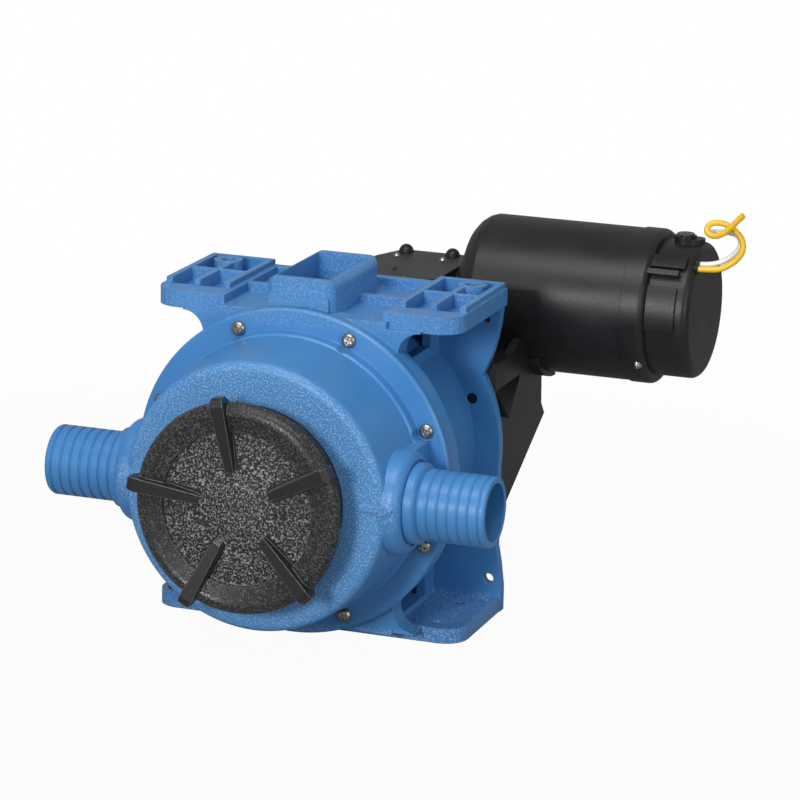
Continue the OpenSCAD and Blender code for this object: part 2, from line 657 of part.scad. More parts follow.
module rear_body() color(blue) seat() difference() {
    union() {
        difference() {
            union() {
                rod_y(ring_r, ring_y, ring_y + ring_t);
                rod_y(rear_r, ring_y, rear_y);
                plate_between(plate_y, rear_y) rear_outline();
                plate_between(web_y, foot_y) web_outline();
                translate([0, 0, -axis_h]) linear_extrude(foot_t) foot_plan(0);
                both_sides() ear_slab();
                block([-ear_in, web_y, slab_under], [ear_in, rear_y, deck_z]);
                both_sides() difference() {
                    block([ear_in - rib_t, web_y, foot_floor - axis_h],
                        [ear_in + rib_t / 2, rear_y, slab_under + edge]);
                    for (z = [window_low, window_high])
                        block([0, window_y[0], z[0]], [ear_x, window_y[1], z[1]]);
                }
                both_sides() block([socket_x, foot_mid - socket_wall * 3, slab_under],
                    [ear_in, foot_mid - socket_wall * 2, slab_z]);
            }
            both_sides() ear_pocket();
            translate([0, 0, foot_floor - axis_h]) linear_extrude(foot_t) intersection() {
                foot_plan(rib_t);
                both_sides() translate([ear_in + rib_t / 2, foot_y]) square([foot_x, plate_y - foot_y]);
            }
        }
        both_sides() ear_ribs();
    }
    intersection() {
        socket_outside();
        block([-2 * socket_x, dry_y, 0], [2 * socket_x, rear_y, socket_z + over]);
    }
    socket_inside();
    rod_y(chamber_r, ring_y - over, dry_y - rib_t);
    rod_y(dry_r, ring_y, plate_y);
    rod_y(bush_r + fit, plate_y - over, rear_y + over);
    at_screws() rod_y(insert_r + fit, ring_y - over, ring_y + insert_l + edge);
    both_sides() {
        translate([ear_boss[0], ear_boss[1], 0]) rod_z(ear_hole_r, slab_under - over, ear_z + over);
        for (y = [-1, 1]) translate([foot_hole_x, foot_mid + y * foot_hole_gap / 2, 0])
            rod_z(foot_hole_r, -axis_h - over, foot_t - axis_h + over);
        for (p = concat(arm_holes, bracket_holes)) translate([p[0], 0, p[1]])
            rod_y(bolt_r + fit, plate_y - over, rear_y + over);
        for (p = spare_hole_shares) translate([p[0] * ear_x, 0, p[1] * ear_z])
            rod_y(bolt_r, plate_y - over, rear_y + over);
    }
}

// Places in the gearbox
wheel_r = gear_module * wheel_teeth / 2;
gear_in_r = wheel_r + 2 * gear_module;
gear_out_r = gear_in_r + gear_wall;
worm_tip = worm_r + gear_module * 0.95;
worm_cut = worm_tip + gear_module;
gear_x1 = 31;
gear_y1 = worm_y + worm_cut + gear_wall * 3.6;
gear_left_shares = [[-0.96, 0.05], [-0.83, 0.57], [-0.5, 1]];
gear_bolt_shares = [[-0.385, 1.77], [0.69, 1.77]];
gear_screw_shares = [[-0.425, 1.27], [-0.49, -0.77], [0.635, 1.27], [0.53, -0.887]];
function on_gearbox(shares) = [for (p = shares) [0, crank_y] + p * gear_out_r];
gear_bolts = on_gearbox(gear_bolt_shares);
gear_screws = on_gearbox(gear_screw_shares);
bush_out_r = shaft_r + bush_wall;
bearing_l = bush_wall * 2;
shaft_x0 = -worm_l / 2 - edge - bearing_l;

// Drive bracket: back plate, shelf and two cheeks, cast in one
window_r = 3 * push_r;
cheek_shares = [[0, -0.95], [0.3, -0.62], [0.92, 0.45], [1, 0.7], [1, 1], [0, 1]];
shelf_y1 = gear_y1 + gear_wall;
shelf_l = shelf_y1 - rear_y;
module drive_bracket() color(black) seat() difference() {
    union() {
        plate_between(rear_y, rear_y + bracket_t) translate([-bracket_x, -gear_z0 + edge])
            rounded([2 * bracket_x, 2 * gear_z0 - edge - fit], foot_corner);
        block([shelf_x0, rear_y, gear_z0 - bracket_t], [shelf_x1, shelf_y1, gear_z0]);
        for (x = [shelf_x0, shelf_x1 - bracket_t]) translate([x, 0, 0]) rotate([90, 0, 90]) linear_extrude(bracket_t)
            polygon([for (p = cheek_shares) [rear_y + p[0] * shelf_l, p[1] * (gear_z0 - edge)]]);
    }
    rod_y(window_r, rear_y - over, rear_y + bracket_t + over);
    translate([0, worm_y, motor_z]) rod_x(0.55 * can_r, gear_x1 - fit, 2 * shelf_x1);
    translate([0, crank_y, 0]) rod_z(bush_out_r + bush_wall + fit, gear_z0 - 2 * bracket_t, gear_z0 + over);
    both_sides() for (p = bracket_holes) translate([p[0], 0, p[1]])
        rod_y(bolt_r + fit, rear_y - over, rear_y + bracket_t + over);
    for (p = gear_bolts) translate([p[0], p[1], 0]) rod_z(bolt_r + fit, gear_z0 - 2 * bracket_t, gear_z0 + over);
}
module hex_bolt(length) {
    rotate([90, 0, 0]) cylinder(r = 2 * bolt_r, h = bolt_r * 1.3, $fn = 6);
    rod_y(bolt_r, -edge, length);
}
module bracket_bolts() color(steel) seat() both_sides() for (p = bracket_holes)
    translate([p[0], rear_y + bracket_t, p[1]]) rotate([0, 0, 180]) hex_bolt(bracket_t + rear_t - edge);

// Support arm: a plate on edge with a flange on the rear plate and a saddle under the can
arm_side_shares = [[0.03, -2.05], [1.03, -0.1], [0.96, 0.2], [0.94, 1.5], [0.5, 2.1], [0.3, 1.9], [0.03, 1.9]];
gusset_side_shares = [[0.03, 1.27], [0.5, 1.27], [0.05, 0.65]];
gusset_out = 7;
arm_reach = worm_y - rear_y;
saddle_t = 3;
arm_drop = motor_z - can_r;
module support_arm() color(black) seat() difference() {
    union() {
        translate([arm_x - arm_t / 2, 0, 0]) rotate([90, 0, 90]) linear_extrude(arm_t)
            polygon([for (p = arm_side_shares) [rear_y + p[0] * arm_reach, p[1] * arm_drop]]);
        intersection() {
            translate([arm_x, 0, 0]) rotate([90, 0, 90]) linear_extrude(gusset_out + arm_t)
                polygon([for (p = gusset_side_shares) [rear_y + p[0] * arm_reach, p[1] * arm_drop]]);
            plate_between(rear_y, worm_y) polygon([[arm_x, 2 * arm_drop], [arm_x + arm_t / 2, 1.27 * arm_drop],
                [arm_x + arm_t / 2 + gusset_out, 0.65 * arm_drop], [arm_x, 0.65 * arm_drop]]);
        }
        block([0.73 * ear_x, rear_y, -2 * arm_drop], [arm_x + arm_t / 2, rear_y + bracket_t, 1.9 * arm_drop]);
        intersection() {
            translate([arm_x - 2 * arm_t, worm_y, motor_z]) rod_x(can_r + saddle_t, 0, 4 * arm_t);
            block([0, worm_y - can_r * 0.72, 0], [4 * arm_x, worm_y, motor_z]);
        }
    }
    translate([0, worm_y, motor_z]) rod_x(can_r + fit, can_x0 - over, 4 * arm_x);
    for (p = arm_holes) translate([p[0], 0, p[1]]) rod_y(bolt_r + fit, rear_y - over, rear_y + bracket_t + over);
}
module arm_screws() color(steel) seat() for (p = arm_holes)
    translate([p[0], rear_y + bracket_t, p[1]]) rotate([0, 0, 180]) hex_bolt(bracket_t + rear_t - edge);

// Gearbox
module gear_block(z0, z1) {
    translate([0, crank_y, 0]) rod_z(gear_out_r, z0, z1);
    translate([gear_screws[3][0], gear_screws[3][1], 0]) rod_z(1.25 * gear_wall, z0, z1);
    translate([0, 0, z0]) linear_extrude(z1 - z0) polygon(concat(
        [for (p = gear_left_shares) [p[0] * gear_out_r, crank_y + p[1] * (gear_y1 - crank_y)]],
        [[gear_x1, gear_y1], [gear_x1, crank_y - gear_out_r / 2], [gear_out_r / 2, crank_y - gear_out_r * 0.86]]));
}
module gear_cavity() {
    translate([0, crank_y, 0]) rod_z(gear_in_r, gear_z0 + gear_wall, gear_z1 + over);
    translate([0, worm_y, motor_z]) rod_x(worm_cut, -worm_l / 2 - edge, worm_l / 2 + edge);
    translate([0, worm_y, motor_z]) rod_x(axle_r + bush_wall + fit, shaft_x0 - fit, gear_x1 + over);
}
module gearbox_housing() color(black) seat() difference() {
    union() gear_block(gear_z0, gear_z1);
    gear_cavity();
    translate([0, crank_y, 0]) rod_z(bush_out_r + fit, gear_z0 - over, gear_z1);
    for (p = gear_bolts) translate([p[0], p[1], 0]) rod_z(bolt_r + fit, gear_z0 - over, gear_z2);
    for (p = gear_screws) translate([p[0], p[1], 0]) rod_z(screw_r / 2 + fit, gear_z1 - 0.9 * gear_wall, gear_z2);
}
module gearbox_cover() color(black) seat() difference() {
    union() {
        gear_block(gear_z1, gear_z2);
        translate([0, crank_y, gear_z2 - fit]) dome_head(shaft_r / 2, edge);
    }
    gear_cavity();
    translate([0, crank_y, 0]) rod_z(bush_out_r + fit, gear_z1 - over, gear_z2 - edge);
    for (p = gear_bolts) translate([p[0], p[1], 0]) rod_z(bolt_r + fit, gear_z0, gear_z2 + over);
    for (p = gear_screws) translate([p[0], p[1], 0]) rod_z(screw_r / 2 + fit, gear_z0, gear_z2 + over);
}
module dome_head(r, h) rotate_extrude() polygon(concat([[0, 0], [r, 0]], arc([0, 0], h, 25, 90, 5)));
module gearbox_screws() color(steel) seat() for (p = gear_screws) translate([p[0], p[1], 0]) {
    translate([0, 0, gear_z2]) dome_head(screw_r, screw_r * 0.8);
    rod_z(screw_r / 2, gear_z1 - 0.7 * gear_wall, gear_z2 + edge / 2);
}
module gearbox_bolts() color(black) seat() for (p = gear_bolts) translate([p[0], p[1], 0]) {
    translate([0, 0, gear_z2]) dome_head(1.5 * bolt_r, 1.4 * bolt_r);
    rod_z(bolt_r, gear_z0 - bracket_t - edge, gear_z2 + edge);
    translate([0, 0, gear_z0 - bracket_t - bolt_r * 1.5]) cylinder(r = 2 * bolt_r, h = bolt_r * 1.5, $fn = 6);
}

// Worm wheel, output shaft, crank and bushes
tooth_shares = [[0.34, -1.2], [0.21, 0], [0.13, 0.95], [-0.13, 0.95], [-0.21, 0], [-0.34, -1.2]];
tooth_turn = 360 / wheel_teeth;
module worm_wheel() color(brass) seat() translate([0, crank_y, motor_z - wheel_w / 2]) difference() {
    linear_extrude(wheel_w) polygon([for (i = [0:wheel_teeth - 1], p = tooth_shares)
        let (a = 90 + (p[0] - i) * tooth_turn, r = wheel_r + p[1] * gear_module) r * [cos(a), sin(a)]]);
    rod_z(shaft_r + running, -over, wheel_w + over);
    for (a = [0:60:300]) rotate([0, 0, a]) translate([wheel_r * 0.62, 0, 0]) rod_z(wheel_r / 6, -over, wheel_w + over);
}
module output_shaft() color(steel) seat() translate([0, crank_y, 0]) rod_z(shaft_r, disc_z, gear_z2 - 2 * edge);
module upper_bush() color(brass) seat() translate([0, crank_y, 0]) difference() {
    rod_z(bush_out_r, motor_z + wheel_w / 2 + pass, gear_z2 - edge);
    rod_z(shaft_r + running, gear_z0, gear_z2 - edge - fit);
}
module lower_bush() color(brass) seat() translate([0, crank_y, 0]) difference() {
    union() {
        rod_z(bush_out_r, gear_z0 - bracket_t, motor_z - wheel_w / 2 - pass);
        rod_z(bush_out_r + bush_wall, gear_z0 - bracket_t, gear_z0 - fit);
    }
    rod_z(shaft_r + running, gear_z0 - 2 * bracket_t, gear_z1);
}
module crank_disc() color(steel) seat() translate([0, crank_y, 0]) difference() {
    union() {
        rod_z(disc_r, disc_z, disc_z + disc_t);
        rod_z(bush_out_r, disc_z, disc_z + 2 * disc_t);
    }
    rod_z(shaft_r + running, disc_z - over, disc_z + 3 * disc_t);
    for (a = [60:60:300]) rotate([0, 0, a - 90]) translate([disc_r * 0.68, 0, 0])
        rod_z(disc_r / 8, disc_z - over, disc_z + disc_t + over);
}

// Worm and rotor
worm_steps = 12;
worm_pitch = PI * gear_module;
worm_turns = worm_l / worm_pitch;
thread_points = 18;
crest_share = 0.09;
foot_share = 0.25;
worm_root = worm_r - gear_module * 1.1;
function thread_r(u) = let (d = abs(u - 0.5))
    d < crest_share ? worm_tip : d > foot_share ? worm_root
    : worm_tip - (worm_tip - worm_root) * (d - crest_share) / (foot_share - crest_share);
module worm() color(steel) seat() translate([-worm_l / 2, worm_y, motor_z]) rotate([0, 90, 0]) difference() {
    linear_extrude(worm_l, twist = -360 * worm_turns, slices = ceil(worm_steps * worm_turns), $fn = thread_points)
        rotate(worm_phase) polygon([for (i = [0:thread_points - 1]) thread_r(i / thread_points)
            * [cos(360 * i / thread_points), sin(360 * i / thread_points)]]);
    rod_z(axle_r + fit, -over, worm_l + over);
}
worm_phase = 270 - 180 * worm_turns;
can_x1 = can_x0 + can_l;
band_x1 = can_x1 + band_l;
bell_x1 = band_x1 + bell_l;
pack_x0 = can_x0 + can_l / 6;
pack_x1 = can_x1 - can_l / 8;
comm_x = band_x1 + bell_l * 0.4;
comm_l = bell_l * 0.37;
brush_x = (band_x1 + bell_x1) / 2 - edge;
module on_motor() translate([0, worm_y, motor_z]) children();
module motor_shaft() color(steel) seat() on_motor() rod_x(axle_r, shaft_x0, bell_x1 - cap_wall);
module armature() color(copper) seat() on_motor() difference() {
    union() {
        translate([pack_x0, 0, 0]) rotate([0, 90, 0]) linear_extrude(pack_x1 - pack_x0) difference() {
            circle(armature_r);
            for (i = [0:slot_count - 1]) rotate(360 * i / slot_count) {
                translate([armature_r - edge, -edge / 2]) square([2 * edge, edge]);
                translate([armature_r * 0.8, 0]) circle(armature_r * 0.12);
            }
        }
        rod_x(armature_r * 0.8, pack_x0 - armature_r / 4, pack_x1 + armature_r / 4);
    }
    rod_x(axle_r + running, can_x0 - over, can_x1 + over);
}
module commutator() color(copper) seat() on_motor() difference() {
    rod_x(comm_r, comm_x - comm_l / 2, comm_x + comm_l / 2);
    rod_x(axle_r + running, comm_x - comm_l, comm_x + comm_l);
    for (i = [0:slot_count - 1]) rotate([360 * i / slot_count, 0, 0])
        block([comm_x - comm_l, -fit, comm_r - edge], [comm_x + comm_l, fit, comm_r + edge]);
}
module bearing(x, r) difference() {
    rod_x(r, x, x + bearing_l);
    rod_x(axle_r + running, x - over, x + bearing_l + over);
}
module front_bearing() color(steel) seat() on_motor() bearing(neck_x0 + fit, neck_r - cap_wall / 2);
module end_bearing() color(brass) seat() on_motor() bearing(bell_x1 - cap_wall - bearing_l, axle_r + bush_wall);
module worm_bush() color(brass) seat() on_motor() bearing(shaft_x0, axle_r + bush_wall);

// Motor housing
neck_x0 = gear_x1;
bell_wall = 3;
front_bell_shares = [[0.5, 0.22], [0.6, 0.34], [0.72, 0.42], [0.84, 0.52], [0.92, 0.66], [0.975, 0.83], [1, 1]];
neck_l = can_x0 - neck_x0;
module motor_front_bell() color(black) seat() on_motor() difference() {
    union() {
        revolve_x() polygon(concat(
            [[0, neck_x0], [neck_r, neck_x0], [neck_r, neck_x0 + neck_l * 0.18]],
            [for (p = front_bell_shares) [p[0] * can_r, neck_x0 + p[1] * neck_l]], [[0, can_x0]]));
        for (i = [0:2]) rod_x(neck_r + edge / 2, neck_x0 + i * edge * 1.2, neck_x0 + i * edge * 1.2 + edge * 0.6);
    }
    revolve_x() polygon(concat([[0, neck_x0 + bearing_l + edge], [neck_r - 2 * edge, neck_x0 + bearing_l + edge]],
        [for (p = front_bell_shares) if (p[0] > 0.55) [p[0] * can_r - bell_wall, neck_x0 + p[1] * neck_l + bell_wall]],
        [[can_r - bell_wall, can_x0 + 2 * bell_wall], [0, can_x0 + 2 * bell_wall]]));
    rod_x(neck_r - cap_wall / 2 + fit / 2, neck_x0 - over, neck_x0 + bearing_l + fit);
    rod_x(axle_r + edge, neck_x0 - over, can_x0);
}
module motor_can() color(black) seat() on_motor() difference() {
    rod_x(can_r, can_x0, can_x1);
    rod_x(can_r - can_wall, can_x0 - over, can_x1 + over);
}
magnet_turn = 130;
magnet_t = can_r - can_wall - armature_r - 2 * edge;
module motor_magnets() color([0.3, 0.3, 0.32]) seat() on_motor() for (side = [0, 180])
    rotate([side, 0, 0]) rotate([0, 90, 0]) rotate([0, 0, 90 - magnet_turn / 2])
        translate([0, 0, pack_x0]) rotate_extrude(angle = magnet_turn)
            translate([can_r - can_wall - magnet_t - fit, 0]) square([magnet_t, pack_x1 - pack_x0]);
holder_r = 5.6;
brush_r = holder_r - 2 * edge / 1.5;
exit_angle = 33;
exit_share = 0.907;
exit_r = exit_share * bell_r;
sleeve_wall = 0.7;
lead_gap = yellow_r + white_r + 2 * pass;
pad_x1 = bell_x1 - bell_round;
panel_shares = [[33, 44.5, 0.55, 1, 0.96], [47.5, 52, 0.4, 0.9, 0.99], [61, 97, 0.42, 0.9, 0.93]];
module at_leads() rotate([exit_angle, 0, 0]) for (side = [-0.5, 0.5])
    translate([0, side * lead_gap, exit_r]) children();
module bell_patch(p) rotate([0, 90, 0]) rotate([0, 0, 180 + p[0]]) translate([0, 0, can_x1 + p[2] * band_l])
    rotate_extrude(angle = p[1] - p[0])
        translate([bell_r - bell_wall, 0])
            square([p[4] * can_r - bell_r + bell_wall, bell_l * p[3] + (1 - p[2]) * band_l - bell_round]);
module motor_end_bell() color(black) seat() on_motor() difference() {
    union() {
        revolve_x() polygon(concat(
            [[0, can_x1], [can_r + edge / 2, can_x1]],
            arc([can_r + edge / 2 - cap_wall, band_x1 - cap_wall], cap_wall, 0, 80, 4),
            [[bell_r, band_x1]],
            arc([bell_r - bell_round, bell_x1 - bell_round], bell_round, 0, 90), [[0, bell_x1]]));
        for (p = panel_shares) bell_patch(p);
        translate([brush_x, 0, 0]) rod_z(holder_r + edge / 2, 0, can_r - edge);
        translate([brush_x + holder_r, 0, 0]) rod_z(holder_r, 0, can_r - 2 * edge);
    }
    difference() {
        revolve_x() polygon([[0, can_x1 - over], [can_r - bell_wall, can_x1 - over],
            [can_r - bell_wall, band_x1 - bell_wall - edge], [bell_r - bell_wall, band_x1 - bell_wall],
            [bell_r - bell_wall, bell_x1 - bell_wall - bell_round / 2], [bell_r - 2 * bell_wall, bell_x1 - cap_wall], [0, bell_x1 - cap_wall]]);
        rod_x(axle_r + 2 * bush_wall, bell_x1 - cap_wall - bearing_l, bell_x1);
        for (side = [0, 180]) rotate([side, 0, 0]) translate([brush_x, 0, 0]) rod_z(holder_r, comm_r + 2 * edge, can_r);
    }
    rod_x(axle_r + bush_wall + fit / 2, bell_x1 - cap_wall - bearing_l - over, bell_x1 - cap_wall + fit);
    translate([brush_x, 0, 0]) rod_z(brush_r + fit, comm_r, can_r + 2 * edge);
    translate([brush_x, 0, 0]) rod_z(holder_r - edge / 2, can_r - 3 * edge, can_r + 2 * edge);
    rotate([180, 0, 0]) translate([brush_x, 0, 0]) rod_z(brush_r + fit, comm_r, can_r);
    at_leads() rod_x(yellow_r + sleeve_wall + fit, band_x1, bell_x1 + over);
}
module motor_screws() color(steel) seat() on_motor() for (a = [127, -53]) rotate([a, 0, 0])
    translate([band_x1 - band_l / 3, 0, can_r + edge / 2]) dome_head(1.3 * screw_r, screw_r);
brush_end = comm_r + holder_r * 1.3;
spring_end = bell_r - edge;
module brushes() color([0.2, 0.2, 0.2]) seat() on_motor() for (side = [0, 180]) rotate([side, 0, 0])
    translate([brush_x, 0, 0]) difference() {
        rod_z(brush_r, comm_r - edge, brush_end);
        translate([-brush_r - over, 0, 0]) rod_x(comm_r + fit, 0, 2 * brush_r + 2 * over);
    }
module brush_springs() color(steel) seat() on_motor() for (side = [0, 180]) rotate([side, 0, 0])
    translate([brush_x, 0, 0]) difference() {
        rod_z(brush_r - edge / 2, brush_end, spring_end);
        rod_z(brush_r - edge, brush_end - over, spring_end + over);
    }
module brush_caps() color(black) seat() on_motor() {
    translate([brush_x, 0, 0]) difference() {
        union() {
            rod_z(brush_r, spring_end, can_r - 2 * edge);
            rod_z(holder_r - edge / 2 - fit, can_r - 3 * edge + fit, can_r);
        }
        block([-holder_r, -edge / 2, can_r - edge], [holder_r, edge / 2, can_r + edge]);
    }
    rotate([180, 0, 0]) translate([brush_x, 0, 0]) rod_z(brush_r, spring_end, bell_r);
}

// Leads: hand-chosen points from the grommet, about the port axis
yellow_path = [
    [172, 187.4, 95.95], [176, 187.4, 95.95], [180, 187.5, 96.05], [185, 187.8, 96.4], [190, 188.5, 97.5],
    [195.5, 189.5, 101], [199.5, 190, 105.5],
    [200.5, 190.5, 110], [199.5, 191, 114], [197, 191.5, 117], [193, 192, 120], [187.5, 192, 122], [182, 191, 121.5],
    [180, 189.5, 119], [181, 188, 116.5], [185, 187, 115.5], [190, 186, 117.5], [194.5, 185.5, 121.5], [198.5, 185, 126],
    [201.5, 184.5, 129]
];
white_path = [
    [172, 190.6, 98], [176, 190.6, 98], [180, 190.8, 98.2], [185, 191.5, 99], [190, 192.5, 101],
    [194.5, 194, 104.5], [197.5, 195.5, 109],
    [197, 196.5, 113], [193.5, 197, 115.5], [188, 197, 116], [182.5, 197, 115.5], [177.5, 197, 115.5]
];
cord_sides = 8;
function unit(v) = v / norm(v);
function tangent(p, i) = unit(p[min(i + 1, len(p) - 1)] - p[max(i - 1, 0)]);
function across(t) = unit(cross(t, [0, 1, 0]));
module cord(p, r) {
    n = len(p);
    points = [for (i = [0:n - 1]) let (t = tangent(p, i), u = across(t), v = cross(t, u))
        for (k = [0:cord_sides - 1]) p[i] + r * (cos(360 * k / cord_sides) * u + sin(360 * k / cord_sides) * v)];
    sides = [for (i = [0:n - 2], k = [0:cord_sides - 1]) let (a = i * cord_sides, b = (k + 1) % cord_sides)
        [a + k, a + cord_sides + k, a + cord_sides + b, a + b]];
    first = [for (k = [0:cord_sides - 1]) k];
    last = [for (k = [cord_sides - 1:-1:0]) (n - 1) * cord_sides + k];
    polyhedron(points, concat([first], sides, [last]));
}
module yellow_lead() color([0.94, 0.72, 0.15]) seat() cord(yellow_path, yellow_r);
module white_lead() color([0.92, 0.92, 0.9]) seat() cord(white_path, white_r);
module lead_grommet() color(rubber) seat() on_motor() difference() {
    at_leads() {
        rod_x(yellow_r + sleeve_wall, bell_x1 - cap_wall, bell_x1);
        rod_x(yellow_r + 2 * sleeve_wall, bell_x1, bell_x1 + edge / 2);
    }
    at_leads() rod_x(yellow_r + fit, bell_x1 - 2 * cap_wall, bell_x1 + 2 * edge);
}

front_cover();
rear_body();
lever_socket();
diaphragm();
cover_screws();
screw_inserts();
access_cap();
cap_gasket();
inlet_tail();
outlet_tail();
tail_seals();
inlet_valve_ring();
inlet_valve_flap();
outlet_valve_ring();
outlet_valve_flap();
front_clamp_plate();
rear_clamp_plate();
clamp_nut();
push_rod();
rod_bush();
wrist_pin();
clevis_clips();
connecting_rod();
crank_pin();
crank_disc();
output_shaft();
upper_bush();
lower_bush();
worm_wheel();
gearbox_housing();
gearbox_cover();
gearbox_screws();
gearbox_bolts();
motor_shaft();
worm();
armature();
commutator();
front_bearing();
end_bearing();
worm_bush();
motor_front_bell();
motor_can();
motor_magnets();
motor_end_bell();
motor_screws();
brushes();
brush_springs();
brush_caps();
drive_bracket();
bracket_bolts();
support_arm();
arm_screws();
lead_grommet();
yellow_lead();
white_lead();
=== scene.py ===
# %% [markdown]
# An electric diaphragm pump stands on a pale table. Its blue body and black motor come ready made
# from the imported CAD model, which is loaded first as a fixed frame. Everything that follows only
# adds materials, light, a camera and the motor's two bare leads.

# %% Load the frame
import bpy, json, math
from mathutils import Matrix, Vector


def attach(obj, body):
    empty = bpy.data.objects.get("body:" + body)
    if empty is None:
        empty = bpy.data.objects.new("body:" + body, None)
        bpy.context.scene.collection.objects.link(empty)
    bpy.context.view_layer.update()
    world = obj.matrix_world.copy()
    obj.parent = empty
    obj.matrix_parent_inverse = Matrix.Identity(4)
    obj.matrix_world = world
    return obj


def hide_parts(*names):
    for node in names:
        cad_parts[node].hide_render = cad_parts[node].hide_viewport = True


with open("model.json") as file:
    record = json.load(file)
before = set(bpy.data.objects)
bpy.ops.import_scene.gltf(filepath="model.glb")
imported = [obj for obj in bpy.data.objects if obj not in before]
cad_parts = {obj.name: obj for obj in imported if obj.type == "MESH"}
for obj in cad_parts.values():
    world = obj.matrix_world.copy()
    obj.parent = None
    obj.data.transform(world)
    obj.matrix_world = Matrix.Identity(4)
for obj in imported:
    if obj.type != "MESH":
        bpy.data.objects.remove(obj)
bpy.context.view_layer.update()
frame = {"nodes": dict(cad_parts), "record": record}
nodes = frame["nodes"]

# %% [markdown]
# Sizes are written in millimetres, measured from the middle of the pump: the hose tails lie along
# X at height 0 and the pump's own axis runs along Y. One helper turns such a point into metres in
# the frame, where the floor is at 0 and the origin is between the four foot bolts.

# %% Places
MM = 0.001
FOOT_MID, AXIS_H = 87, 93

def at(x, y, z):
    return Vector((x, y - FOOT_MID, z + AXIS_H)) * MM

def deselect():
    if bpy.context.object and bpy.context.object.mode != "OBJECT":
        bpy.ops.object.mode_set(mode="OBJECT")
    bpy.ops.object.select_all(action="DESELECT")

deselect()
print("pump axis at", tuple(at(0, 0, 0)))

# %% [markdown]
# The camera stands in front, a little to the right and above, as the photographer did. Its
# distance and lens were found by matching the cover circle, the hose tails, the foot and the motor.
# It rolls by a degree, so its axes are worked out as three vectors and set as a matrix.

# %% Camera
AZIMUTH, ELEVATION, ROLL = math.radians(20.03), math.radians(14.86), math.radians(1.2)
DISTANCE, FOCAL_PX, FRAME_PX, SENSOR = 1958.46, 3767.37, 800, 36
AIM = (70.84, 0, 54.58)
back = Vector((math.sin(AZIMUTH) * math.cos(ELEVATION), -math.cos(AZIMUTH) * math.cos(ELEVATION),
               math.sin(ELEVATION)))
right = Vector((math.cos(AZIMUTH), math.sin(AZIMUTH), 0))
up = back.cross(right)
right_rolled = math.cos(ROLL) * right + math.sin(ROLL) * up
up_rolled = -math.sin(ROLL) * right + math.cos(ROLL) * up
eye = at(*AIM) + back * DISTANCE * MM
lens = bpy.data.cameras.new("camera")
lens.sensor_width = SENSOR
lens.lens = FOCAL_PX * SENSOR / FRAME_PX
lens.clip_start = 0.05
camera = bpy.data.objects.new("camera", lens)
bpy.context.scene.collection.objects.link(camera)
camera.matrix_world = Matrix((
    (right_rolled.x, up_rolled.x, back.x, eye.x), (right_rolled.y, up_rolled.y, back.y, eye.y),
    (right_rolled.z, up_rolled.z, back.z, eye.z), (0, 0, 0, 1)))
bpy.context.scene.camera = camera
bpy.context.scene.view_settings.view_transform = "Standard"
print("lens", round(lens.lens, 2), "mm, eye at", [round(c, 3) for c in eye])

# %% [markdown]
# Shader maths reads best as plain expressions, so a small class wraps a node's output socket and
# gives it the arithmetic operators. Each operator adds one Math node. Every other node is made by
# one method that takes the node's type, its settings and the values or links of its inputs.

# %% A socket that adds and multiplies
def feed(tree, socket, value):
    """Links a Socket to an input, or sets a plain value on it."""
    if isinstance(value, Socket):
        tree.links.new(value.out, socket)
    else:
        socket.default_value = value


class Socket:
    def __init__(self, tree, out):
        self.tree, self.out = tree, out

    def math(self, operation, *others):
        node = self.tree.nodes.new("ShaderNodeMath")
        node.operation = operation
        for i, value in enumerate((self, *others)):
            feed(self.tree, node.inputs[i], value)
        return Socket(self.tree, node.outputs[0])

    def __add__(self, other): return self.math("ADD", other)
    def __sub__(self, other): return self.math("SUBTRACT", other)
    def __mul__(self, other): return self.math("MULTIPLY", other)
    def __rsub__(self, other): return (self * -1.0) + other
    __radd__, __rmul__ = __add__, __mul__

    def clamp(self):
        return self.math("MINIMUM", 1.0).math("MAXIMUM", 0.0)

    def step(self, low, high):
        """0 below low, 1 above high and a straight ramp between."""
        return ((self - low) * (1 / (high - low))).clamp()


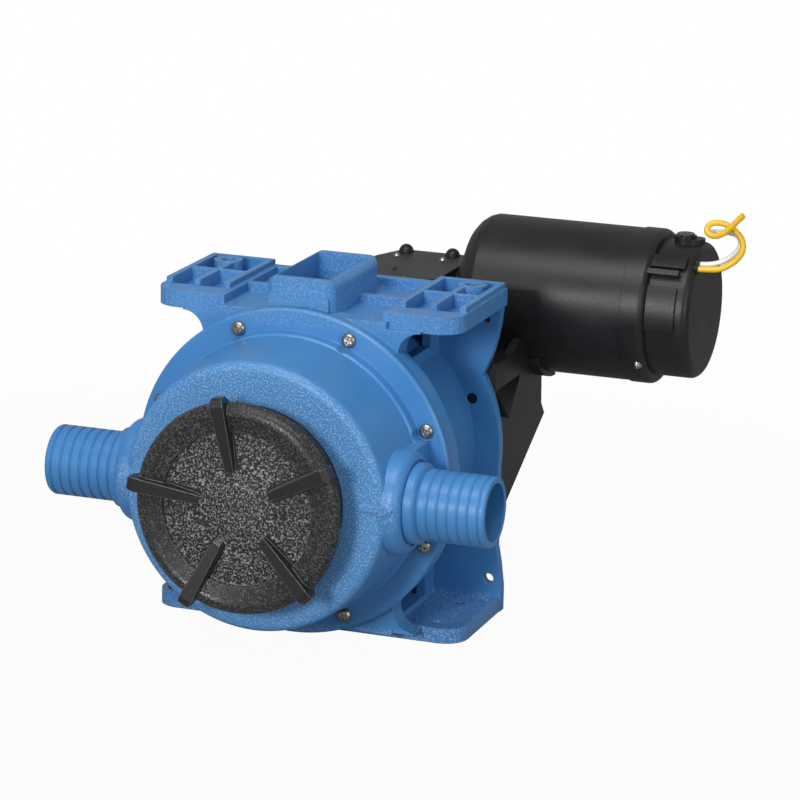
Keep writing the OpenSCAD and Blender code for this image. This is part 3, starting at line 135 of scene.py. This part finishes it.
class Finish:
    """One node material: a Principled shader and the nodes that feed it."""
    def __init__(self, name, **values):
        self.name = name
        self.material = bpy.data.materials.new(name + "_look")
        self.material.use_nodes = True
        self.tree = self.material.node_tree
        self.shader = self.tree.nodes["Principled BSDF"]
        self.rounded = None
        self.place = Socket(self.tree, self.tree.nodes.new("ShaderNodeTexCoord").outputs["Object"])
        for key, value in values.items():
            self.set(key.replace("_", " "), value)

    def set(self, name, value):
        feed(self.tree, self.shader.inputs[name], value)

    def node(self, kind, settings=None, out=0, **values):
        """A value's key is an input's name, or i and its number where the name isn't unique."""
        node = self.tree.nodes.new("ShaderNode" + kind)
        for key, value in (settings or {}).items():
            setattr(node, key, value)
        for key, value in values.items():
            numbered = key[1:].isdigit()
            feed(self.tree, node.inputs[int(key[1:]) if numbered else key.replace("_", " ")], value)
        return Socket(self.tree, node.outputs[out])

    def noise(self, scale, detail=2.0, roughness=0.5, stretch=None):
        where = self.place
        if stretch is not None:
            where = self.node("Mapping", Vector=where, Scale=stretch)
        return self.node("TexNoise", Vector=where, Scale=scale, Detail=detail, Roughness=roughness)

    def mix(self, factor, first, second):
        return self.node("Mix", {"data_type": "RGBA"}, out=2, i0=factor, i6=first, i7=second)

    def soften(self, radius_mm):
        """Shades sharp edges as if rounded by that radius, and returns a mask that is 1 near them."""
        self.rounded = self.node("Bevel", {"samples": 4}, Radius=radius_mm * MM)
        flat = self.node("NewGeometry", out="Normal")
        return 1 - self.node("VectorMath", {"operation": "DOT_PRODUCT"}, "Value",
                             i0=self.rounded, i1=flat)

    def bump(self, height, strength, distance):
        rounded = {"Normal": self.rounded} if self.rounded else {}
        self.set("Normal", self.node("Bump", Height=height, Strength=strength, Distance=distance,
                                     **rounded))

    def axes(self):
        node = self.tree.nodes.new("ShaderNodeSeparateXYZ")
        feed(self.tree, node.inputs[0], self.place)
        return [Socket(self.tree, out) for out in node.outputs]

def colour(r, g, b):
    """A screen colour in 0 to 255 as the linear value that a shader takes."""
    def linear(c):
        c /= 255
        return c / 12.92 if c <= 0.04045 else ((c + 0.055) / 1.055) ** 2.4
    return (linear(r), linear(g), linear(b), 1.0)

print("blue is", [round(c, 3) for c in colour(65, 132, 192)])

# %% [markdown]
# Two bare leads leave the motor's end through a rubber sleeve. A lead is a tube of fixed length, so
# it is drawn as a curve through the same points as in the CAD model, given the lead's radius as its
# bevel and turned into a mesh, and its length is printed.

# %% Leads
YELLOW = ((172, 187.4, 95.95), (176, 187.4, 95.95), (180, 187.5, 96.05), (185, 187.8, 96.4),
          (190, 188.5, 97.5), (195.5, 189.5, 101), (199.5, 190, 105.5), (200.5, 190.5, 110),
          (199.5, 191, 114), (197, 191.5, 117), (193, 192, 120), (187.5, 192, 122),
          (182, 191, 121.5), (180, 189.5, 119), (181, 188, 116.5), (185, 187, 115.5),
          (190, 186, 117.5), (194.5, 185.5, 121.5), (198.5, 185, 126), (201.5, 184.5, 129))
WHITE = ((172, 190.6, 98), (176, 190.6, 98), (180, 190.8, 98.2), (185, 191.5, 99),
         (190, 192.5, 101), (194.5, 194, 104.5), (197.5, 195.5, 109), (197, 196.5, 113),
         (193.5, 197, 115.5), (188, 197, 116), (182.5, 197, 115.5), (177.5, 197, 115.5))
YELLOW_R, WHITE_R = 1.7, 1.5
STEPS, ROUNDNESS = 6, 5

def smooth_line(points):
    """Points on a Catmull-Rom curve through the given ones, in metres."""
    p = [at(*q) for q in points]
    p = [p[0] * 2 - p[1]] + p + [p[-1] * 2 - p[-2]]
    line = []
    for a, b, c, d in zip(p, p[1:], p[2:], p[3:]):
        for k in range(STEPS):
            t = k / STEPS
            line.append(0.5 * (2 * b + (c - a) * t + (2 * a - 5 * b + 4 * c - d) * t * t
                               + (3 * b - a - 3 * c + d) * t ** 3))
    return line + [p[-2]]

def lead(name, points, radius):
    line = smooth_line(points)
    curve = bpy.data.curves.new(name, "CURVE")
    curve.dimensions = "3D"
    curve.bevel_depth = radius * MM
    curve.bevel_resolution = ROUNDNESS
    curve.use_fill_caps = True
    spline = curve.splines.new("POLY")
    spline.points.add(len(line) - 1)
    for point, place in zip(spline.points, line):
        point.co = (*place, 1)
    obj = bpy.data.objects.new(name, curve)
    bpy.context.scene.collection.objects.link(obj)
    obj.select_set(True)
    bpy.context.view_layer.objects.active = obj
    bpy.ops.object.convert(target="MESH")
    obj = bpy.context.object
    deselect()
    length = sum((b - a).length for a, b in zip(line, line[1:]))
    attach(obj, "root")
    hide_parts(name.replace("_cord", "_lead"))
    print(name, "is", round(length * 1000, 1), "mm long")
    return obj

yellow_cord = lead("yellow_cord", YELLOW, YELLOW_R)
white_cord = lead("white_cord", WHITE, WHITE_R)

# %% [markdown]
# The blue parts are moulded in glossy nylon. Its surface has a spark-eroded grain, which breaks the
# highlights into speckles on the collar, the port bosses, the ears and the foot, while the cover's
# cone is smooth. The grain is noise of about a millimetre, used for roughness and for bump, and its
# pale speckles are painted into the colour as glints of light. Masks on the height and on the pump's
# own Y axis say where it lies. Sharp edges get a painted highlight in a paler blue.

# %% Blue plastic
SPREAD = (0.3, 0.7)  # most of a noise's values lie between these
FRONT_Y, PLATE_Y, DECK_Z, FOOT_Z = -24, 118, 78, -82
SOFT, SHARP = 0.004, 0.001  # how wide a mask's edge is, in metres

def grain(finish, size_mm):
    """Specks of about size_mm, 1 on a speck and 0 between."""
    return finish.noise(1 / (size_mm * MM), roughness=0.6).step(0.5, 0.62)

def radius_from_axis(finish):
    """Distance from the pump's own axis, in metres."""
    x, _, z = finish.axes()
    height = z - AXIS_H * MM
    return (x * x + height * height).math("POWER", 0.5)

blue = Finish("blue_plastic", Specular_IOR_Level=0.45)
cloud = blue.noise(22.0, detail=3.0)
fine = blue.noise(2400.0)
_, y_axis, z_axis = blue.axes()
# the grain's specks: real bumps, and also pale glints of light painted into the colour
grain_and_glints = grain(blue, 1.0)
in_front = (at(0, FRONT_Y, 0).y - y_axis).step(0.0, SOFT)
on_deck = (z_axis - at(0, 0, DECK_Z).z).step(0.0, SOFT)
on_foot = (at(0, 0, FOOT_Z).z - z_axis).step(0.0, SOFT)
before_plate = (at(0, PLATE_Y, 0).y - y_axis).step(0.0, SHARP)
grain_and_glint_zone = (in_front + (on_deck * 0.5 + on_foot) * before_plate).clamp()
edge_highlight_mask = blue.soften(0.7)
base = blue.mix(cloud.step(*SPREAD), colour(62, 124, 184), colour(70, 134, 193))
# paler blue mixed in near sharp edges: a painted highlight
base = blue.mix(edge_highlight_mask.step(0.05, 0.5) * 0.45, base, colour(126, 178, 226))
# pale specks on the grainy faces: painted glints of light on the grain
blue.set("Base Color", blue.mix(grain_and_glints * grain_and_glint_zone * 0.34, base, colour(196, 220, 238)))
blue.set("Roughness", fine.step(*SPREAD) * 0.08 + 0.30 + grain_and_glint_zone * 0.06)
blue.bump(fine * 0.25 + grain_and_glints * grain_and_glint_zone, 0.3, 0.0003)
print("blue has", len(blue.tree.nodes), "nodes")

# %% [markdown]
# Black parts come in several finishes: the cap's moulded plastic, with a slightly coarser grain than
# the cover, the stove enamel of the motor and gearbox, thin and satin over cast metal, and plain
# rubber. The cap's grain covers bowl and rim; its pale specks, painted glints of light, lie strongly
# in its bowl and faintly on its rim, and its five moulded wings are smooth. They are found by their
# turn about the pump's axis. Sharp edges of the black plastic get a painted highlight in pale grey.

# %% Black plastic, enamel and rubber
WING_FIRST, WING_STEP = math.radians(99), math.radians(72)
WING_HALF, WING_START, BOWL_R = 3.9 * MM, 21 * MM, 42 * MM
WING_EDGE = 0.0006

black = Finish("black_plastic", Specular_IOR_Level=0.5)
fine = black.noise(2200.0)
x_axis, _, z_axis = black.axes()
height = z_axis - AXIS_H * MM
turn = (height.math("ARCTAN2", x_axis) - WING_FIRST).math("WRAP", WING_STEP / 2, -WING_STEP / 2)
radius = radius_from_axis(black)
from_wing = (radius * turn.math("SINE")).math("ABSOLUTE")
beside_wings = (from_wing - WING_HALF).step(0.0, WING_EDGE)
off_wings = beside_wings.math("MAXIMUM", (WING_START - radius).step(0.0, WING_EDGE))
in_bowl = (BOWL_R - radius).step(0.0, WING_EDGE)
grain_and_glints = grain(black, 1.1) * off_wings
edge_highlight_mask = black.soften(0.7)
# pale specks: painted glints of light, strong in the bowl and faint elsewhere off the wings
base = black.mix(grain_and_glints * (in_bowl * 0.38 + 0.14), colour(30, 30, 29), colour(205, 208, 206))
# pale grey mixed in near sharp edges: a painted highlight
black.set("Base Color", black.mix(edge_highlight_mask.step(0.04, 0.4) * 0.8, base, colour(176, 178, 176)))
black.set("Roughness", fine.step(*SPREAD) * 0.10 + 0.24)
black.bump(fine * 0.15 + grain_and_glints, 0.9, 0.0004)

enamel = Finish("black_enamel", Specular_IOR_Level=0.42)
fine = enamel.noise(1100.0, detail=3.0)
cloud = enamel.noise(40.0)
shade = enamel.mix(cloud.step(0.35, 0.65), colour(22, 22, 22), colour(30, 30, 30))
enamel.set("Base Color", shade)
enamel.soften(0.5)
enamel.set("Roughness", cloud.step(*SPREAD) * 0.08 + fine.step(*SPREAD) * 0.08 + 0.3)
enamel.bump(fine, 0.12, 0.0004)

rubber = Finish("rubber", Roughness=0.7)
fine = rubber.noise(1500.0)
rubber.set("Base Color", rubber.mix(fine.step(*SPREAD), colour(16, 16, 17), colour(28, 28, 29)))
rubber.bump(fine, 0.08, 0.0002)
print("black has", len(black.tree.nodes), "nodes")

# %% [markdown]
# Metals are told apart by colour and by the lines the tool left: stainless fasteners and rod parts
# have a fine even grain, and shafts, gears and windings have a noise that is drawn out into lines.
# Magnets, brushes and the leads' covers are a plain mix of two near colours.

# %% Metals and the other parts
def metal(name, dark, light, roughness, stretch=(1, 1, 1), scale=900.0):
    finish = Finish(name, Metallic=1.0)
    lines = finish.noise(scale, detail=3.0, stretch=stretch)
    finish.set("Base Color", finish.mix(lines.step(*SPREAD), dark, light))
    finish.set("Roughness", lines.step(0.25, 0.75) * 0.16 + roughness)
    finish.bump(lines, 0.06, 0.0002)
    return finish

def plain(name, dark, light, roughness, scale=600.0):
    finish = Finish(name)
    cloud = finish.noise(scale, detail=3.0)
    finish.set("Base Color", finish.mix(cloud.step(*SPREAD), dark, light))
    finish.set("Roughness", cloud.step(*SPREAD) * 0.12 + roughness)
    finish.bump(cloud, 0.05, 0.0002)
    return finish

stainless = metal("stainless", colour(150, 144, 136), colour(182, 178, 170), 0.2, scale=2400.0)
steel = metal("plain_steel", colour(140, 140, 138), colour(185, 185, 182), 0.3, (1, 1, 6))
brass = metal("brass", colour(176, 148, 82), colour(214, 186, 112), 0.28, (1, 1, 5))
copper = metal("copper", colour(160, 92, 58), colour(206, 126, 84), 0.36, (1, 8, 8))
ferrite = plain("ferrite", colour(66, 66, 68), colour(88, 88, 90), 0.55)
carbon = plain("carbon", colour(36, 36, 36), colour(58, 58, 58), 0.6)
yellow = plain("yellow_cover", colour(238, 186, 30), colour(248, 202, 52), 0.34, 120.0)
white = plain("white_cover", colour(232, 232, 226), colour(244, 244, 240), 0.34, 120.0)
yellow_cord.data.materials.append(yellow.material)
white_cord.data.materials.append(white.material)

finishes = {finish.name: finish for finish in (blue, black, enamel, rubber, stainless, steel,
                                               brass, copper, ferrite, carbon, yellow, white)}
for part in frame["record"]["subparts"]:
    finish = finishes[part["material_slot"]]
    for material_slot in nodes[part["node"]].material_slots:
        material_slot.material = finish.material
print(len(finishes), "finishes on", len(nodes), "nodes")

# %% [markdown]
# The pump was photographed on a white page. The floor is a grey paper to everything but the camera,
# which sees it as the white page, with a faint share of the real floor left where the shadow lies.

# %% Floor
FLOOR_SIZE, PAPER_GREY, SHADOW_SHARE = 12, 0.35, 0.04
SHADOW_NEAR, SHADOW_FAR = 0.2, 0.9  # metres from the origin over which the shadow's share ends

bpy.ops.mesh.primitive_plane_add(size=FLOOR_SIZE, location=(0, 0, 0))
floor = bpy.context.object
floor.name = "floor"
paper = Finish("paper", Roughness=0.9)
paper.set("Base Color", (PAPER_GREY, PAPER_GREY, PAPER_GREY, 1))
x_axis, y_axis, _ = paper.axes()
distance = (x_axis * x_axis + y_axis * y_axis).math("POWER", 0.5)
seen_directly = paper.node("LightPath", out="Is Camera Ray")
faded = distance.step(SHADOW_NEAR, SHADOW_FAR) * SHADOW_SHARE + (1 - SHADOW_SHARE)
page_share = seen_directly * faded
page = paper.node("Emission", out="Emission", Color=(1, 1, 1, 1), Strength=1.0)
shader = Socket(paper.tree, paper.shader.outputs["BSDF"])
mixed = paper.node("MixShader", out="Shader", i0=page_share, i1=shader, i2=page)
paper.tree.links.new(mixed.out, paper.tree.nodes["Material Output"].inputs["Surface"])
floor.data.materials.append(paper.material)
print("floor is", FLOOR_SIZE, "m wide")

# %% [markdown]
# Three area lamps light the pump, all aimed at its middle: a small key in front, a wide softbox
# overhead and a fill from the right.

# %% Lamps
LAMP_AIM = Vector((0, 0, 0.1))

def lamp(name, place, size, watts):
    data = bpy.data.lights.new(name, "AREA")
    data.shape = "RECTANGLE"
    data.size, data.size_y = size
    data.energy = watts
    obj = bpy.data.objects.new(name, data)
    bpy.context.scene.collection.objects.link(obj)
    obj.location = place
    obj.rotation_euler = (LAMP_AIM - Vector(place)).to_track_quat("-Z", "Y").to_euler()

lamp("key", (-0.15, -1.9, 0.65), (0.35, 0.35), 17)
lamp("overhead", (0.05, -0.5, 1.15), (0.9, 0.5), 6.5)
lamp("fill", (1.5, -0.8, 0.5), (0.8, 0.8), 5.0)

# %% [markdown]
# The world is a dim, faintly blue sky for lighting and for mirrored rays, and plain white for
# the camera.

# %% World
SKY, SKY_STRENGTH = (0.95, 0.97, 1, 1), 0.36
PAGE, PAGE_STRENGTH = (1, 1, 1, 1), 1.0

world = bpy.data.worlds.new("world")
bpy.context.scene.world = world
world.use_nodes = True
tree = world.node_tree
sky = tree.nodes["Background"]
page = tree.nodes.new("ShaderNodeBackground")
for background, tint, strength in ((sky, SKY, SKY_STRENGTH), (page, PAGE, PAGE_STRENGTH)):
    background.inputs["Color"].default_value = tint
    background.inputs["Strength"].default_value = strength
path = tree.nodes.new("ShaderNodeLightPath")
mix = tree.nodes.new("ShaderNodeMixShader")
tree.links.new(path.outputs["Is Camera Ray"], mix.inputs[0])
tree.links.new(sky.outputs[0], mix.inputs[1])
tree.links.new(page.outputs[0], mix.inputs[2])
tree.links.new(mix.outputs[0], tree.nodes["World Output"].inputs["Surface"])
print("world has", len(tree.nodes), "nodes")
